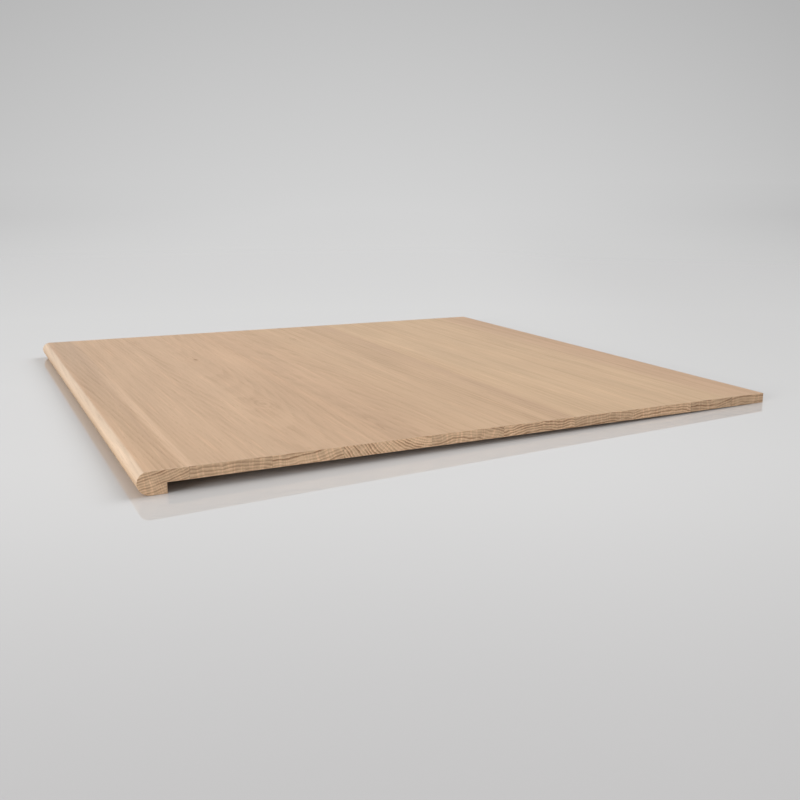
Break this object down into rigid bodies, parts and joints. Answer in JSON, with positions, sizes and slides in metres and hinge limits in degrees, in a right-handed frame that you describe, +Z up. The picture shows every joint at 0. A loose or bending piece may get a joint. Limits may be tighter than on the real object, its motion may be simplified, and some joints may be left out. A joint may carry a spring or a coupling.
{
  "type": "bullnose landing tread",
  "caption": "Square oak landing tread glued up from staves, with a full-round nosing that hooks over the riser.",
  "frame": {"origin": "on the floor, below the middle of the tread as it lies unheld on its lip and its back edge", "axes": "+X from the nosing to the back edge, +Y along the nosing, +Z up from the floor"},
  "size_m": [0.9144, 0.9144, 0.0273],
  "materials": {
    "oak": "bare, finely sanded"
  },
  "bodies": {
    "root": {"nosing_stave": "oak", "stave_2": "oak", "stave_3": "oak", "stave_4": "oak", "stave_5": "oak", "stave_6": "oak", "stave_7": "oak", "stave_8": "oak", "stave_9": "oak", "back_stave": "oak"}
  },
  "joints": []
}
